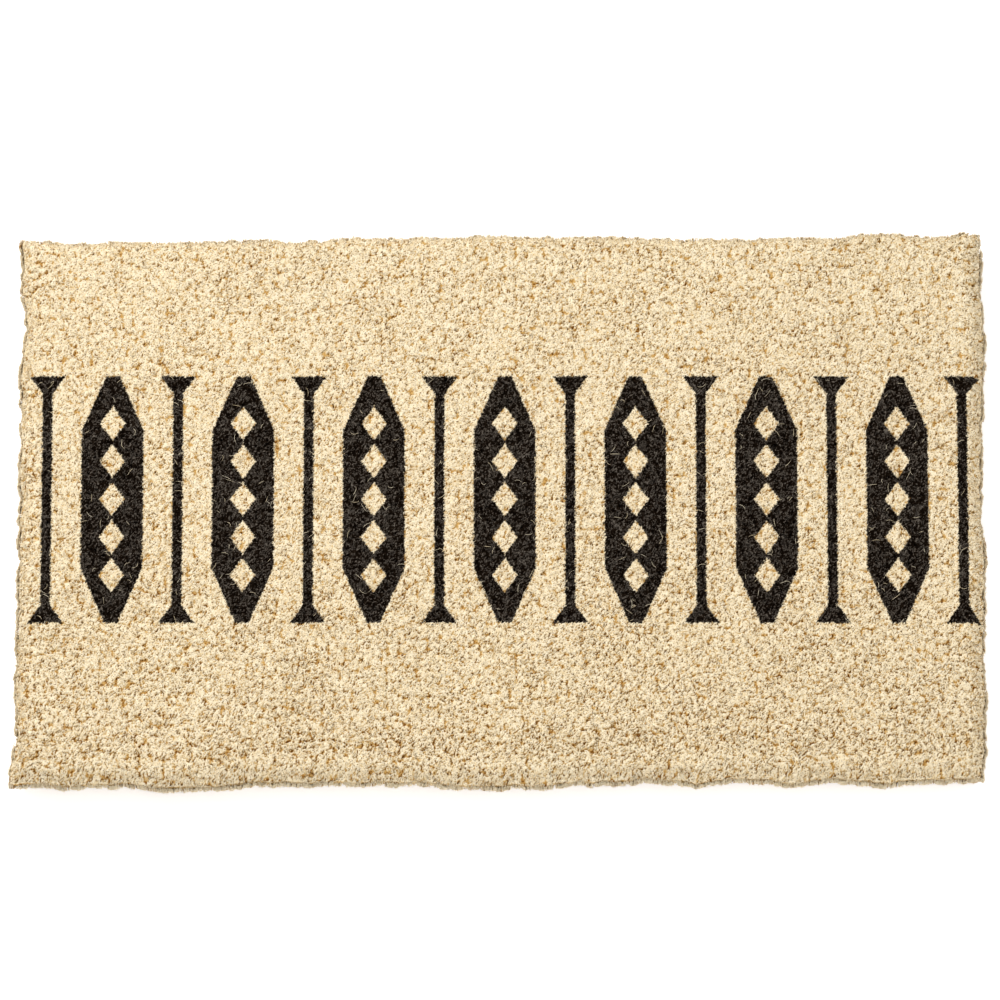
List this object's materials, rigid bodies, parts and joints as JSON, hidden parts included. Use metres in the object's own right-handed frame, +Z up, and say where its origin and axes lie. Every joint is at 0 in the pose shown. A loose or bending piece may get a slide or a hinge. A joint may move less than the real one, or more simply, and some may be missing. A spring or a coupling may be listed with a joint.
{
  "type": "door mat",
  "caption": "Thick rectangular door mat of standing coir fibre pile bound in a loose weave of coir cords, with plaited end hems.",
  "frame": {"origin": "centre of the underside, on the floor", "axes": "+X along the mat's length, towards its right end; +Y across it, towards its back edge; +Z up, from the weave to the pile tips"},
  "size_m": [0.762, 0.457, 0.038],
  "materials": {
    "pile_natural": "shorn tips of bleached coir fibre, matt",
    "pile_printed": "coir fibre tips dyed black, matt",
    "weave_cord": "two-ply coir cord, hairy and matt",
    "selvage_rope": "twisted coir rope, hairy and matt",
    "end_hem": "flat plait of coir cord, matt"
  },
  "bodies": {
    "root": {"pile_row_01": "pile_natural", "pile_row_02": "pile_natural", "pile_row_03": "pile_natural", "pile_row_04": "pile_natural", "pile_row_05": "pile_natural", "pile_row_06": "pile_natural", "pile_row_07": "pile_natural", "pile_row_08": "pile_natural", "pile_row_09": "pile_natural", "pile_row_10": "pile_natural", "pile_row_11": "pile_natural", "pile_row_12": "pile_natural", "pile_row_13": "pile_natural", "pile_row_14": "pile_natural", "pile_row_15": "pile_natural", "pile_row_16": "pile_natural", "pile_row_17": "pile_natural", "pile_row_18": "pile_natural", "pile_row_19": "pile_natural", "warp_cord_1": "weave_cord", "warp_cord_2": "weave_cord", "warp_cord_3": "weave_cord", "warp_cord_4": "weave_cord", "warp_cord_5": "weave_cord", "warp_cord_6": "weave_cord", "warp_cord_7": "weave_cord", "warp_cord_8": "weave_cord", "warp_cord_9": "weave_cord", "weft_cord_01": "weave_cord", "weft_cord_02": "weave_cord", "weft_cord_03": "weave_cord", "weft_cord_04": "weave_cord", "weft_cord_05": "weave_cord", "weft_cord_06": "weave_cord", "weft_cord_07": "weave_cord", "weft_cord_08": "weave_cord", "weft_cord_09": "weave_cord", "weft_cord_10": "weave_cord", "weft_cord_11": "weave_cord", "weft_cord_12": "weave_cord", "weft_cord_13": "weave_cord", "weft_cord_14": "weave_cord", "weft_cord_15": "weave_cord", "weft_cord_16": "weave_cord", "weft_cord_17": "weave_cord", "weft_cord_18": "weave_cord", "weft_cord_19": "weave_cord", "weft_cord_20": "weave_cord", "selvage_rope_front": "selvage_rope", "selvage_rope_back": "selvage_rope", "end_hem_left": "end_hem", "end_hem_right": "end_hem", "corner_knot_front_left": "selvage_rope", "corner_knot_front_right": "selvage_rope", "corner_knot_back_left": "selvage_rope", "corner_knot_back_right": "selvage_rope"}
  },
  "joints": []
}
